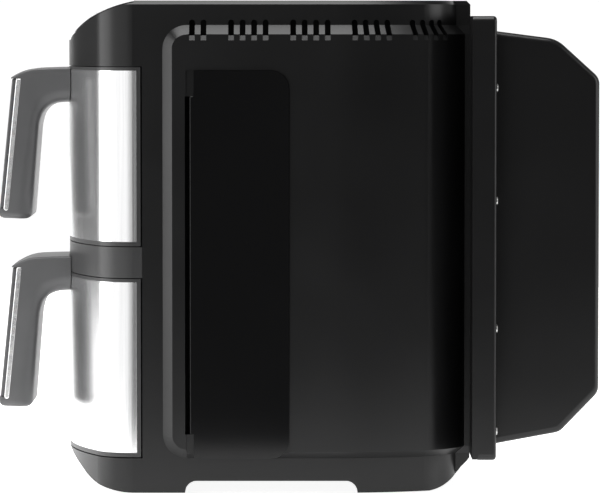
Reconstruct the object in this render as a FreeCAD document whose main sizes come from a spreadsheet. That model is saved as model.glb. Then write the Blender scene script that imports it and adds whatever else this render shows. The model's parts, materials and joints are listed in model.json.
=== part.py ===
import FreeCAD, Part
import os
import re
import Sketcher

# Air fryer with two stacked drawers, as an assembly of its separate pieces.
# Row frame: +Z up, +Y to the back, drawers and handles face -Y, origin on the ground under the middle.
# Lengths are in millimetres and angles in degrees.

SIZES = {
    # outer casing, seen from above
    "half_width": 131, "bulge_half": 138, "band_half": 140,
    "front_tip": 182.5, "front_curve": 250, "front_corner": 32,
    "pillar_front": -119.2, "bulge_front": -103.2, "bevel_run": 7.6,
    "bend_start": 34, "bend_one": 179, "bend_two": 52.6, "bend_mid": 23, "bend_end": 74,
    "shell_back": 138.3, "flange_back": 142.8, "band_back": 157.1, "rear_reach": 238.5,
    "wall": 2.5, "cover_bevel": 3, "bevel_in": 6.9,
    "pillar_return": 122, "pillar_thick": 4, "bend_reach": 60,
    # heights
    "height": 386, "base_top": 28.3, "shell_top": 334.6,
    "bulge_low": 34, "bulge_top": 359.7, "bevel_top": 366.9, "bulge_corner": 19,
    "bulge_corner_in": 11.6,
    # control slope of the cover
    "slope_face": 181, "slope_low": 355, "slope_toe_y": 176.4, "slope_toe_z": 361.4,
    "slope_toe_radius": 10, "slope_crown_y": 125.5, "slope_radius": 100, "toe_lean": 0.72,
    "crown_lean": 0.15, "glass_thick": 1.4,
    "glass_half": 92, "glass_inset": 3,
    # display board
    "board_half": 80, "board_y": -165, "board_z": 349, "board_run": 38, "board_slope": 0.605,
    "display_half": 32, "display_run": 18,
    # side vents in the cover
    "vent_pitch": 8.95, "vent_group": 48.3, "vent_first": -97.9, "vent_width": 4.5,
    "vent_low": 355, "vent_high": 371, "vent_sill": 3.8, "vent_deep": 12,
    "rib_in": 92, "rib_out": 94.5, "rib_low": 338, "rib_front": -112, "rib_back": 122,
    # base
    "front_rail_a": -119, "front_rail_b": -86, "rear_rail_a": 49, "rear_rail_b": 98,
    "arch_top": 10.5, "arch_run": 8, "arch_radius": 9.3, "pad_thick": 1.2, "pad_inset": 5,
    "pad_corner": 4, "pad_in": 91, "pad_out": 109, "base_floor": 5, "base_side": 8,
    "base_front_room": -134, "base_back_room": 98,
    "bow_low_y": -125, "bow_low_radius": 85, "bow_mid_y": -152, "bow_mid_z": 5.6, "bow_mid_radius": 39,
    "bow_high_y": -168, "bow_high_z": 15.8, "bow_high_radius": 120, "bow_end_z": 31,
    "stern_low_y": 106, "stern_low_radius": 36, "stern_mid_y": 131.4, "stern_mid_z": 17.2,
    "stern_mid_radius": 45, "stern_end_z": 26,
    # drawer zones: heights are measured up from the bottom of the drawer front
    "lower_zone": 29.2, "upper_zone": 194.4, "front_height": 139.6,
    "drawer_back_y": -120.4, "skin_thick": 0.8, "skin_back_y": -123.5, "skin_low": 3.4,
    "skin_high": 137, "front_wall": 3,
    "band_low": 169.5, "band_high": 193.7,
    "frame_front": -119.9, "frame_back": -113, "frame_half": 121.8,
    "cavity_half": 112, "cavity_low": 4, "cavity_high": 134, "cavity_back": 104, "sheet": 1,
    "fan_height": 69,
    # basket and crisper plate
    "basket_half": 104, "basket_back": 72, "basket_low": 9, "basket_high": 112, "basket_wall": 1.6,
    "basket_corner": 18, "rim_out": 3.5,
    "plate_half": 98, "plate_front": -112, "plate_back": 64, "plate_low": 24, "plate_thick": 1.5,
    "plate_corner": 14, "slot_wide": 5, "slot_long": 22, "slot_margin": 14, "slot_pitch": 32,
    "bumper_low": 11, "bumper_high": 27.5, "bumper_out": 3.6, "bumper_long": 16,
    # grip: reach is measured forward from the front tip and drop down from the top of its root
    "upper_grip_top": 333, "lower_grip_top": 181.5, "grip_half": 39, "grip_gap": 0.5,
    "root_height": 27.8, "crown_reach": 28.2, "crown_drop": 1.1, "brow_reach": 45.2, "brow_drop": 7.7,
    "brow_radius": 60, "toe_reach": 56, "toe_drop": 116.3, "toe_radius": 6.2, "sole_reach": 50.3,
    "grip_drop": 122, "heel_reach": 33.6, "heel_rise": 4.6, "heel_radius": 4.8, "palm_reach": 23,
    "palm_drop": 43, "palm_radius": 15.5, "cap_lip": 1, "cap_thick": 4.4, "trim_thick": 3.9,
    "cap_top_drop": 9, "cap_low_drop": 113, "trim_side": 0.25, "trim_end": 1.95,
    "screw_reach": 14, "screw_drop": 21.8, "screw_radius": 2, "boss_radius": 4,
    # air path and heater
    "guard_y": 80, "fan_radius": 46, "fan_front": 86, "fan_depth": 14, "blade_thick": 1,
    "hub_radius": 7, "ring_radius": 56, "tube_radius": 3.2, "ring_y": 91, "terminal_back": 121,
    "ring_end_x": 11.643, "ring_end_z": 14.224, "nut_reach": 5.5,
    "probe_x": 70, "probe_y": 75, "probe_radius": 2, "probe_long": 15, "probe_head": 3,
    "switch_x": 117, "switch_z": 121, "switch_wide": 8, "switch_deep": 18, "switch_tall": 12,
    "plunger_radius": 1.6,
    "shaft_radius": 3, "shaft_front": 83, "shaft_back": 160, "running_gap": 0.05,
    "rotor_radius": 18, "cool_radius": 38, "cool_front": 108, "cool_back": 118,
    "air_hole_x": 72, "air_hole_z": 24, "air_hole_radius": 9,
    "bulkhead_y": 122, "bulkhead_half": 92, "motor_half": 30, "motor_back": 156, "motor_wall": 4.8,
    # power board
    "standoff": 6, "board_thick": 1.6, "power_half": 55, "power_low": 136, "power_tall": 90,
    "capacitor_radius": 9, "capacitor_tall": 18.4, "post_radius": 3,
    # rear cover
    "band_low_z": 27.4, "band_high_z": 373.9, "band_corner": 5, "hump_half": 118, "hump_top": 363,
    "hump_shoulder_y": 205, "hump_shoulder_z": 356, "hump_face_top": 325.5, "hump_face_low": 79,
    "hump_heel_y": 208, "hump_heel_z": 47.5, "hump_low": 37, "hump_round": 11, "cover_wall": 3,
    "shoulder_round": 24, "hump_side_round": 5, "band_round": 2.8, "louvre_half": 46,
    "louvre_tall": 3.6, "louvre_pitch": 8, "cover_screw_radius": 3.4, "cover_screw_thick": 1.6,
    "gland_x": -80, "gland_z": 100, "gland_radius": 7.5, "gland_bore_radius": 4,
    "collar_deep": 6,
    # side door and its storage bay
    "door_front": -78.7, "door_back": -4.6, "door_low": 29, "door_high": 331.6, "door_corner": 14,
    "door_in": 136.9, "door_out": 139.8, "knuckle_front": -81.2, "knuckle_low": 47.9,
    "knuckle_high": 311, "hinge_x": 135, "hinge_y": -80.2, "knuckle_radius": 2.4, "pin_radius": 1,
    "groove_radius": 6.2, "rebate_floor": 136.5, "rebate_front": -84.9,
    "bay_floor": 122.5, "bay_front": -72, "bay_back": -12, "bay_low": 42, "bay_high": 318,
    "bay_corner": 8, "tub_front": -90, "tub_back": -2, "tub_in": 120, "bulge_step": -82,
    "pin_seat": 8, "door_gap": 0.5, "barrel_link": 1.2,
}

os.makedirs("parts", exist_ok=True)
doc = FreeCAD.newDocument("AirFryer")
sheet = doc.addObject("Spreadsheet::Sheet", "Sizes")
for row, (alias, amount) in enumerate(SIZES.items(), start=1):
    sheet.set("A%d" % row, alias)
    sheet.set("B%d" % row, str(amount))
    sheet.setAlias("B%d" % row, alias)
doc.recompute()

NODES = []
PLANES = {"XY": "XY_Plane", "XZ": "XZ_Plane", "YZ": "YZ_Plane"}


# ---- expressions and sketches ----

def bound(text):
    """The expression with every dimension's name pointing at its cell."""
    return re.sub(r"[a-z_][a-z_0-9]*", lambda m: "Sizes." + m[0] if m[0] in SIZES else m[0], str(text))


def amount_of(text):
    found = sheet.evalExpression(bound(text))
    return float(getattr(found, "Value", found))


def vector(x, y, z=0.0):
    return FreeCAD.Vector(x, y, z)


def flipped(points):
    """The same outline on the other side of the middle plane."""
    return [("-(%s)" % p[0], p[1]) + tuple(p[2:3]) + tuple(-turn for turn in p[3:]) for p in points]


def backwards(points):
    """The same open run of points, walked the other way."""
    turned = []
    for place, point in enumerate(reversed(points)):
        bend = points[len(points) - place] if place else point[:2]
        arc = (bend[2], -bend[3]) if len(bend) > 2 else ()
        turned.append(tuple(point[:2]) + arc)
    return turned


def arc_between(start, end, radius, turn):
    """The shorter arc from start to end; turn is 1 for counterclockwise."""
    chord = end - start
    lift = max(radius ** 2 - (chord.Length / 2) ** 2, 0.0) ** 0.5
    side = vector(-chord.y, chord.x).normalize() * lift * turn
    centre = (start + end) / 2 + side
    spokes = (start - centre, end - centre) if turn > 0 else (end - centre, start - centre)
    circle = Part.Circle(centre, vector(0, 0, 1), radius)
    first, last = (circle.parameter(centre + spoke) for spoke in spokes)
    return Part.ArcOfCircle(circle, first, last)


def place_rules(sketch, rules, geometry, end, x, y):
    """Adds the rules that hold one end of a sketch element at an x and y worked out from the sheet."""
    for kind, text in (("DistanceX", x), ("DistanceY", y)):
        rules.append((Sketcher.Constraint(kind, -1, 1, geometry, end, amount_of(text)), text))


def add_outline(sketch, rules, points):
    """A closed outline. A point (x, y) ends a line; (x, y, radius, turn) ends an arc."""
    places = [vector(amount_of(p[0]), amount_of(p[1])) for p in points]
    first = sketch.GeometryCount
    ends = []
    pieces = []
    for i, point in enumerate(points):
        start = places[i - 1]
        if len(point) == 2:
            pieces.append(Part.LineSegment(start, places[i]))
            ends.append((1, 2))
        else:
            pieces.append(arc_between(start, places[i], amount_of(point[2]), point[3]))
            ends.append((1, 2) if point[3] > 0 else (2, 1))
    sketch.addGeometry(pieces, False)
    count = len(points)
    for i in range(count):
        following = (i + 1) % count
        joint = Sketcher.Constraint(
            "Coincident", first + i, ends[i][1], first + following, ends[following][0])
        rules.append((joint, None))
        place_rules(sketch, rules, first + i, ends[i][1], points[i][0], points[i][1])
        if len(points[i]) > 2:
            rules.append((Sketcher.Constraint("Radius", first + i, amount_of(points[i][2])), points[i][2]))


def add_circle(sketch, rules, x, y, radius):
    place = vector(amount_of(x), amount_of(y))
    index = sketch.addGeometry(Part.Circle(place, vector(0, 0, 1), amount_of(radius)), False)
    place_rules(sketch, rules, index, 3, x, y)
    rules.append((Sketcher.Constraint("Radius", index, amount_of(radius)), radius))


def new_body(label):
    body = doc.addObject("PartDesign::Body", label)
    body.Label = label
    return body


def add_sketch(body, plane, level, loops):
    """A sketch parallel to one of the body's own origin planes, at a level along the row's axis."""
    sketch = body.newObject("Sketcher::SketchObject", body.Label + "_sketch")
    origin_plane = next(f for f in body.Origin.OriginFeatures if f.Role == PLANES[plane])
    sketch.AttachmentSupport = [(origin_plane, "")]
    sketch.MapMode = "FlatFace"
    sign = "-" if plane == "XZ" else ""
    sketch.setExpression("AttachmentOffset.Base.z", bound("%s(%s)" % (sign, level)))
    rules = []
    for loop in loops:
        if loop[0] == "circle":
            add_circle(sketch, rules, *loop[1:])
        else:
            add_outline(sketch, rules, loop)
    sketch.addConstraint([rule for rule, text in rules])
    for place, (rule, text) in enumerate(rules):
        if text is not None:
            sketch.setExpression("Constraints[%d]" % place, bound(text))
    return sketch


def pad(body, plane, low, high, *loops):
    """Adds the outline's prism between two levels along the axis square to the plane."""
    sketch = add_sketch(body, plane, high if plane == "XZ" else low, loops)
    feature = body.newObject("PartDesign::Pad", body.Label + "_pad")
    feature.Profile = sketch
    feature.setExpression("Length", bound("(%s) - (%s)" % (high, low)))
    return feature


def pocket(body, plane, low, high, *loops):
    """Removes the outline's prism between two levels."""
    sketch = add_sketch(body, plane, low if plane == "XZ" else high, loops)
    feature = body.newObject("PartDesign::Pocket", body.Label + "_pocket")
    feature.Profile = sketch
    feature.setExpression("Length", bound("(%s) - (%s)" % (high, low)))
    return feature


def loft(body, low, first, high, second):
    """A bevelled layer between two outlines in level planes."""
    feature = body.newObject("PartDesign::AdditiveLoft", body.Label + "_bevel")
    feature.Profile = add_sketch(body, "XY", low, [first])
    feature.Sections = [add_sketch(body, "XY", high, [second])]
    feature.Ruled = True
    return feature


def repeat(body, feature, axis, pitch, count):
    """Repeats a pocket in a row along its sketch's H_Axis or V_Axis."""
    pattern = body.newObject("PartDesign::LinearPattern", body.Label + "_row")
    pattern.Originals = [feature]
    pattern.Direction = (feature.Profile[0], [axis])
    pattern.setExpression("Length", bound("(%s) * %d" % (pitch, count - 1)))
    pattern.Occurrences = count
    body.Tip = pattern
    return pattern


def round_edges(body, radius, wanted):
    """Rounds the edges of the body's last feature that the test picks out."""
    doc.recompute()
    names = ["Edge%d" % (i + 1) for i, edge in enumerate(body.Tip.Shape.Edges) if wanted(edge)]
    feature = body.newObject("PartDesign::Fillet", body.Label + "_fillet")
    feature.Base = (feature.BaseFeature or body.Tip, names)
    feature.setExpression("Radius", bound(radius))
    body.Tip = feature
    return feature


def along(edge, axis):
    """True where an edge is a straight line along the axis."""
    return edge.Curve.TypeId == "Part::GeomLine" and abs(edge.Curve.Direction.dot(axis)) > 0.999


def combine(kind, label, base, tool):
    """A boolean of two objects: kind is Cut, Fuse or Common."""
    joined = doc.addObject("Part::" + kind, label)
    joined.Label = label
    joined.Base = base
    joined.Tool = tool
    return joined


def primitive(kind, label, place=("0", "0", "0"), turn=None, **sizes):
    """A Part primitive with its sizes and its place bound to the sheet."""
    shape = doc.addObject("Part::" + kind, label)
    shape.Label = label
    for size, text in sizes.items():
        shape.setExpression(size, bound(text))
    if turn:
        shape.Placement = FreeCAD.Placement(vector(0, 0, 0), turn)
    for axis, text in zip("xyz", place):
        shape.setExpression("Placement.Base." + axis, bound(text))
    return shape


def group(label, members):
    """Several separate solids kept as one node."""
    joined = doc.addObject("Part::Compound", label)
    joined.Label = label
    joined.Links = members
    return joined


def fuse(label, members):
    joined = doc.addObject("Part::MultiFuse", label)
    joined.Label = label
    joined.Shapes = members
    return joined


def node(piece):
    NODES.append(piece)
    return piece


ALONG_Y = FreeCAD.Rotation(vector(1, 0, 0), -90)
ALONG_X = FreeCAD.Rotation(vector(0, 1, 0), 90)
AGAINST_X = FreeCAD.Rotation(vector(0, 1, 0), -90)
DEGREES = 57.29577951308232  # in one radian


# ---- outlines shared by several pieces ----

def rectangle(x_low, x_high, y_low, y_high):
    return [(x_low, y_low), (x_high, y_low), (x_high, y_high), (x_low, y_high)]


def rounded_rectangle(x_low, x_high, y_low, y_high, radius):
    near, far = "(%s) + (%s)", "(%s) - (%s)"
    left, right = near % (x_low, radius), far % (x_high, radius)
    down, up = near % (y_low, radius), far % (y_high, radius)
    return [
        (left, y_low, radius, 1), (right, y_low), (x_high, down, radius, 1), (x_high, up),
        (right, y_high, radius, 1), (left, y_high), (x_low, up, radius, 1), (x_low, down)]


CORNER_DEEP = "sqrt((front_curve - front_corner)^2 - (half_width - front_corner)^2)"
CORNER_Y = "(front_curve - front_tip - %s)" % CORNER_DEEP


def front_run(inset):
    """The bowed front from the left side round to the right side, moved inwards."""
    share = "(front_curve - (%s)) / (front_curve - front_corner)" % inset
    tangent_x = "((half_width - front_corner) * %s)" % share
    tangent_y = "(front_curve - front_tip - %s * %s)" % (CORNER_DEEP, share)
    side = "(half_width - (%s))" % inset
    corner, bow = "front_corner - (%s)" % inset, "front_curve - (%s)" % inset
    return [
        ("-" + side, CORNER_Y), ("-" + tangent_x, tangent_y, corner, 1),
        (tangent_x, tangent_y, bow, 1), (side, CORNER_Y, corner, 1)]


def bend_run(inset):
    """The right side's run to the back, where the wall bends inwards in two arcs."""
    centre = "(bulge_half - bend_one + (bend_one - bend_two) * cos(bend_mid))"
    first_x = "(bulge_half - bend_one + (bend_one - (%s)) * cos(bend_mid))" % inset
    first_y = "(bend_start + (bend_one - (%s)) * sin(bend_mid))" % inset
    second_x = "(%s + (bend_two - (%s)) * cos(bend_end))" % (centre, inset)
    bend_y = "(bend_start + (bend_one - bend_two) * sin(bend_mid))"
    second_y = "(%s + (bend_two - (%s)) * sin(bend_end))" % (bend_y, inset)
    return [
        ("bulge_half - (%s)" % inset, "bend_start"),
        (first_x, first_y, "bend_one - (%s)" % inset, 1),
        (second_x, second_y, "bend_two - (%s)" % inset, 1)]


def casing_plan(inset, back):
    """The whole casing from above, without the raised sides."""
    right = bend_run("bulge_half - half_width + (%s)" % inset)
    ends = [(right[-1][0], back), ("-(%s)" % right[-1][0], back)]
    return front_run(inset) + right + ends + backwards(flipped(right))


def bulge_plan(inset, back):
    """The raised sides from above, from one bevel to the other."""
    right = bend_run(inset)
    bevel = [("half_width", "bulge_front"), ("bulge_half - (%s)" % inset, "bulge_front + bevel_run")]
    ends = [(right[-1][0], back), ("-(%s)" % right[-1][0], back)]
    return bevel + right + ends + backwards(flipped(bevel + right))


def corner_cutter(label, side, level, upright):
    """What the rounded front corner of a raised side leaves out of its square corner."""
    centre_y = "bulge_front + bulge_corner"
    start = "half_width" if side > 0 else "-bulge_half - 1"
    low = level if upright > 0 else "%s - bulge_corner - 1" % level
    block = primitive(
        "Box", label + "_block", (start, "bulge_front - 1", low), Length="bulge_half - half_width + 1",
        Width="bulge_corner + 1", Height="bulge_corner + 1")
    turn = ALONG_X if side > 0 else AGAINST_X
    tip = "(%d) * half_width" % side
    cone = primitive(
        "Cone", label + "_cone", (tip, centre_y, level), turn, Radius1="bulge_corner",
        Radius2="bulge_corner_in", Height="bulge_half - half_width")
    return combine("Cut", label, block, cone)


# ---- casing ----

def make_base():
    """The base tray: bowl-shaped ends, two foot rails with an arch between them, hollow from above."""
    body = new_body("base_tray")
    pad(body, "XY", "pad_thick", "base_top", casing_plan("0", "shell_back"))
    end = "half_width + 1"
    low = "pad_thick - 1"
    pocket(body, "YZ", "-(%s)" % end, end, [
        ("-front_tip - 1", low), ("bow_low_y", low), ("bow_low_y", "pad_thick"),
        ("bow_mid_y", "bow_mid_z", "bow_low_radius", -1), ("bow_high_y", "bow_high_z", "bow_mid_radius", -1),
        ("-front_tip - 1", "bow_end_z", "bow_high_radius", -1)])
    pocket(body, "YZ", "-(%s)" % end, end, [
        ("front_rail_b", low), ("rear_rail_a", low), ("rear_rail_a", "pad_thick"),
        ("rear_rail_a - arch_run", "arch_top", "arch_radius", 1), ("front_rail_b + arch_run", "arch_top"),
        ("front_rail_b", "pad_thick", "arch_radius", 1)])
    pocket(body, "YZ", "-(%s)" % end, end, [
        ("stern_low_y", low), ("shell_back + 1", low), ("shell_back + 1", "stern_end_z"),
        ("stern_mid_y", "stern_mid_z", "stern_mid_radius", -1),
        ("stern_low_y", "pad_thick", "stern_low_radius", -1)])
    side = "half_width - base_side"
    inner = rectangle("-(%s)" % side, side, "front_rail_b + arch_run + 4", "rear_rail_a - arch_run - 4")
    pocket(body, "XY", "arch_top + wall", "base_top + 1", inner)
    front = rectangle("-(%s)" % side, side, "base_front_room", "front_rail_b - wall")
    pocket(body, "XY", "pad_thick + base_floor", "base_top + 1", front)
    back = rectangle("-base_back_room", "base_back_room", "rear_rail_a + wall", "stern_low_y")
    pocket(body, "XY", "pad_thick + base_floor", "base_top + 1", back)
    return node(body)


def make_feet():
    """Four rubber pads under the ends of the foot rails."""
    body = new_body("rubber_feet")
    for front, back in (("front_rail_a", "front_rail_b"), ("rear_rail_a", "rear_rail_b")):
        for side in ("", "-"):
            low, high = ("pad_in", "pad_out") if not side else ("-pad_out", "-pad_in")
            pad(body, "XY", "0", "pad_thick", rounded_rectangle(
                low, high, front + " + pad_inset", back + " - pad_inset", "pad_corner"))
    return node(body)


def side_shell(label, side):
    """One moulded side: pillar, bevel, raised face, bend to the back and rear flange."""
    def own(points):
        return points if side > 0 else flipped(points)

    def solid(inset):
        bevel = [("half_width", "pillar_front"), ("half_width", "bulge_front"),
                 ("bulge_half - (%s)" % inset, "bulge_front + bevel_run")]
        curve = bend_run(inset)
        flange = [(curve[-1][0], "shell_back"), ("band_half", "shell_back"), ("band_half", "flange_back")]
        inner_face = [("bend_reach", "flange_back"), ("bend_reach", "pillar_front")]
        return own(bevel + curve + flange + inner_face)

    outer = new_body(label + "_outside")
    loft(outer, "base_top", solid("bevel_in"), "bulge_low", solid("0"))
    pad(outer, "XY", "bulge_low", "shell_top", solid("0"))
    inside = new_body(label + "_inside")
    pillar = [("bend_reach - 1", "pillar_front - 1"), ("pillar_return", "pillar_front - 1"),
              ("pillar_return", "pillar_front + pillar_thick"),
              ("half_width - wall", "pillar_front + pillar_thick")]
    step = [("half_width - wall", "tub_front"), ("bulge_half - wall", "bulge_step")]
    curve = bend_run("wall")
    ends = [(curve[-1][0], "flange_back + 1"), ("bend_reach - 1", "flange_back + 1")]
    pad(inside, "XY", "bulge_low + 0.5", "shell_top + 1", own(pillar + step + curve + ends))
    low_curve = bend_run("bulge_half - half_width + wall")
    low_ends = [(low_curve[-1][0], "flange_back + 1"), ("bend_reach - 1", "flange_back + 1")]
    pad(inside, "XY", "base_top - 1", "bulge_low + 0.5", own(pillar + low_curve + low_ends))
    hollowed = combine("Cut", label + "_hollowed", outer, inside)
    cutter = corner_cutter(label + "_corner", side, "base_top + bulge_corner", -1)
    return combine("Cut", label + "_plain", hollowed, cutter)


def make_left_side():
    plain = side_shell("left_side_panel", -1)
    plain.Label = "left_side_panel"
    return node(plain)


def make_right_side():
    """The right side also carries the storage bay, the door's rebate and the hinge groove."""
    plain = side_shell("right_side_panel", 1)
    tub = new_body("bay_tub")
    pad(tub, "YZ", "tub_in", "rebate_floor", rectangle(
        "tub_front", "tub_back", "bulge_low + 2", "shell_top - 1"))
    whole = combine("Fuse", "side_with_tub", plain, tub)
    room = new_body("bay_room")
    pad(room, "YZ", "bay_floor", "door_out", rounded_rectangle(
        "bay_front", "bay_back", "bay_low", "bay_high", "bay_corner"))
    pad(room, "YZ", "rebate_floor", "door_out + 1", [
        ("rebate_front", "base_top - 1"), ("door_back + door_gap", "base_top - 1"),
        ("door_back + door_gap", "door_high - door_corner"),
        ("door_back - door_corner", "door_high + door_gap", "door_corner + door_gap", 1),
        ("rebate_front", "door_high + door_gap")])
    pad(room, "XY", "knuckle_low - 0.4", "knuckle_high + 0.4",
        ("circle", "hinge_x", "hinge_y", "groove_radius"))
    bored = combine("Cut", "right_side_bored", whole, room)
    seat = primitive("Cylinder", "pin_seat", ("hinge_x", "hinge_y", "knuckle_low - pin_seat"),
                     Radius="pin_radius", Height="knuckle_high - knuckle_low + 2 * pin_seat")
    return node(combine("Cut", "right_side_panel", bored, seat))


def make_door():
    """The gloss door, with the barrel of its hinge along the front edge."""
    body = new_body("side_door")
    straight = "door_high - door_corner"
    pad(body, "YZ", "door_in", "door_out", [
        ("door_back - door_corner", "door_low"), ("door_back", "door_low + door_corner", "door_corner", 1),
        ("door_back", straight), ("door_back - door_corner", "door_high", "door_corner", 1),
        ("door_front", "door_high"), ("door_front", "knuckle_high"), ("knuckle_front", "knuckle_high"),
        ("knuckle_front", "knuckle_low"), ("door_front", "knuckle_low"), ("door_front", "door_low")])
    pad(body, "XY", "knuckle_low", "knuckle_high", [
        ("hinge_x - barrel_link", "hinge_y - 2"), ("hinge_x - barrel_link", "hinge_y + 2"),
        ("door_in + 0.5", "hinge_y + 4"), ("door_in + 0.5", "knuckle_front")])
    pad(body, "XY", "knuckle_low", "knuckle_high", ("circle", "hinge_x", "hinge_y", "knuckle_radius"))
    pocket(body, "XY", "knuckle_low - 1", "knuckle_high + 1",
           ("circle", "hinge_x", "hinge_y", "pin_radius + running_gap"))
    return node(body)


def make_hinge_pin():
    return node(primitive("Cylinder", "door_hinge_pin", ("hinge_x", "hinge_y", "knuckle_low - pin_seat"),
                          Radius="pin_radius", Height="knuckle_high - knuckle_low + 2 * pin_seat"))


def slope_outline(depth, back):
    """What the control slope takes off the front of the cover, seen from the side."""
    face = "-slope_face + (%s)" % depth
    return [
        ("-front_tip - 5", "slope_low"), (face, "slope_low"),
        ("-slope_toe_y + toe_lean * (%s)" % depth, "slope_toe_z - toe_lean * (%s)" % depth,
         "slope_toe_radius", -1),
        ("-slope_crown_y + crown_lean * (%s)" % depth, "height - (%s)" % depth, "slope_radius", -1),
        ("-slope_crown_y + crown_lean * (%s)" % depth, back), ("-front_tip - 5", back)]


def turned(angle):
    """The direction at an angle in radians from the X axis."""
    return FreeCAD.Rotation(vector(0, 0, 1), angle * DEGREES).multVec(vector(1, 0, 0))


def vent_places():
    """Where each side vent sits along the side and its bend: x, y and heading in radians."""
    one, two = amount_of("bend_one"), amount_of("bend_two")
    start, middle = amount_of("bend_start"), amount_of("bend_mid") / DEGREES
    places = []
    for slot in range(2, 20):
        run = amount_of("vent_first + vent_group * %d + vent_pitch * %d" % divmod(slot, 4))
        past = max(run - start, 0.0)
        first = min(past / one, middle)
        heading = first + (past - first * one) / two
        centre = vector(amount_of("bulge_half") - one, min(run, start)) + turned(first) * (one - two)
        spot = centre + turned(heading) * two
        places.append((spot.x, spot.y, heading))
    return places


def make_cover():
    """The top cover: bowed front, control slope, raised sides, vents, ribs and the rear flange's top."""
    core = new_body("cover_core")
    pad(core, "XY", "shell_top", "height - cover_bevel", casing_plan("0", "shell_back"))
    loft(core, "height - cover_bevel", casing_plan("0", "shell_back"), "height",
         casing_plan("cover_bevel", "shell_back - cover_bevel"))
    wide = "half_width + 2"
    pocket(core, "YZ", "-(%s)" % wide, wide, slope_outline("glass_thick", "height + 1"))
    bulge = new_body("cover_bulge")
    pad(bulge, "XY", "shell_top", "bulge_top", bulge_plan("0", "shell_back"))
    loft(bulge, "bulge_top", bulge_plan("0", "shell_back"), "bevel_top", bulge_plan("bevel_in", "shell_back"))
    lip = new_body("cover_lip")
    edge = "band_half"
    pad(lip, "XZ", "shell_back", "flange_back", [
        ("-" + edge, "shell_top"), (edge, "shell_top"), (edge, "band_high_z - band_corner"),
        (edge + " - band_corner", "band_high_z", "band_corner", 1),
        ("-(%s - band_corner)" % edge, "band_high_z"),
        ("-" + edge, "band_high_z - band_corner", "band_corner", 1)])
    outside = fuse("cover_outside", [core, bulge, lip])
    for side in (1, -1):
        cutter = corner_cutter("cover_corner_%s" % ("right" if side > 0 else "left"), side,
                               "bevel_top - bulge_corner", 1)
        outside = combine("Cut", "cover_rounded", outside, cutter)
    room = new_body("cover_room")
    pad(room, "XY", "shell_top - 1", "height - wall", casing_plan("wall", "shell_back - wall"))
    pocket(room, "YZ", "-(%s)" % wide, wide, slope_outline("glass_thick + wall", "height + 1"))
    shoulder = new_body("cover_shoulder")
    right = bend_run("wall")
    inner = [("half_width - wall - 1", "bulge_step"), ("bulge_half - wall", "bulge_step")]
    ends = [(right[-1][0], "shell_back - wall"), ("-(%s)" % right[-1][0], "shell_back - wall")]
    pad(shoulder, "XY", "shell_top - 1", "bulge_top - wall",
        inner + right + ends + backwards(flipped(inner + right)))
    hollow = combine("Cut", "cover_hollow", combine("Cut", "cover_emptied", outside, room), shoulder)
    ribs = []
    for word, low, high in (("left", "-rib_out", "-rib_in"), ("right", "rib_in", "rib_out")):
        rib = new_body("cover_rib_" + word)
        pad(rib, "XY", "rib_low", "height - wall + 0.5", rectangle(low, high, "rib_front", "rib_back"))
        ribs.append(rib)
    hollow = fuse("cover_ribbed", [hollow] + ribs)
    slots = []
    for number, (x, y, angle) in enumerate(vent_places()):
        for side in (1, -1):
            label = "vent_%d_%s" % (number, "right" if side > 0 else "left")
            slots.append(vent_slot(label, x, y, angle, side))
    cutter = group("cover_vents", slots)
    return node(combine("Cut", "top_cover", hollow, cutter))


def vent_slot(label, x, y, angle, side):
    """One slot, cut square through the wall, with a rounded top and a sill that slopes outwards."""
    width = amount_of("vent_width")
    deep_in, deep_out, sill_deep = amount_of("vent_deep"), amount_of("wall"), amount_of("wall")
    low, high = amount_of("vent_low"), amount_of("vent_high")
    sill = low + amount_of("vent_sill")
    slant = (sill - low) / sill_deep
    corners = [
        vector(deep_out, -width / 2, low - slant * deep_out), vector(-sill_deep, -width / 2, sill),
        vector(-deep_in, -width / 2, sill), vector(-deep_in, -width / 2, high - width / 2),
        vector(deep_out, -width / 2, high - width / 2)]
    block = Part.Face(Part.makePolygon(corners + corners[:1])).extrude(vector(0, width, 0))
    crown = Part.makeCylinder(
        width / 2, deep_in + deep_out, vector(-deep_in, 0, high - width / 2), vector(1, 0, 0))
    slot = block.fuse(crown)
    heading = FreeCAD.Rotation(vector(0, 0, 1), angle * DEGREES)
    slot = slot.transformGeometry(FreeCAD.Placement(vector(x, y), heading).toMatrix())
    if side < 0:
        slot = slot.mirror(vector(0, 0, 0), vector(1, 0, 0))
    feature = doc.addObject("Part::Feature", label)
    feature.Label = label
    feature.Shape = slot
    return feature


def make_glass():
    """The touch glass on the control slope."""
    body = new_body("glass_sheet")
    depth = "glass_thick"
    pad(body, "YZ", "-glass_half", "glass_half", [
        ("-slope_toe_y + toe_lean * %s" % depth, "slope_toe_z - toe_lean * %s" % depth),
        ("-slope_crown_y + crown_lean * %s" % depth, "height - %s" % depth, "slope_radius", -1),
        ("-slope_crown_y", "height"), ("-slope_toe_y", "slope_toe_z", "slope_radius", 1)])
    bow = new_body("glass_bow")
    behind = [("half_width", "-slope_crown_y + 5"), ("-half_width", "-slope_crown_y + 5")]
    pad(bow, "XY", "slope_low", "height + 1", front_run("glass_inset") + behind)
    return node(combine("Common", "control_glass", body, bow))


def make_control_board():
    """The display board under the glass, with its display block."""
    body = new_body("control_board")

    def slanted(low_y, low_z, run_y, run_z, lean, rise):
        return [(low_y, low_z), ("%s + %s" % (low_y, run_y), "%s + %s" % (low_z, run_z)),
                ("%s + %s - %s" % (low_y, run_y, lean), "%s + %s + %s" % (low_z, run_z, rise)),
                ("%s - %s" % (low_y, lean), "%s + %s" % (low_z, rise))]

    pad(body, "YZ", "-board_half", "board_half", slanted(
        "board_y", "board_z", "board_run", "board_run * board_slope", "0.9", "1.4"))
    pad(body, "YZ", "-display_half", "display_half", slanted(
        "board_y + 7", "board_z + 5.2", "display_run", "display_run * board_slope", "2", "3.9"))
    return node(body)


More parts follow.
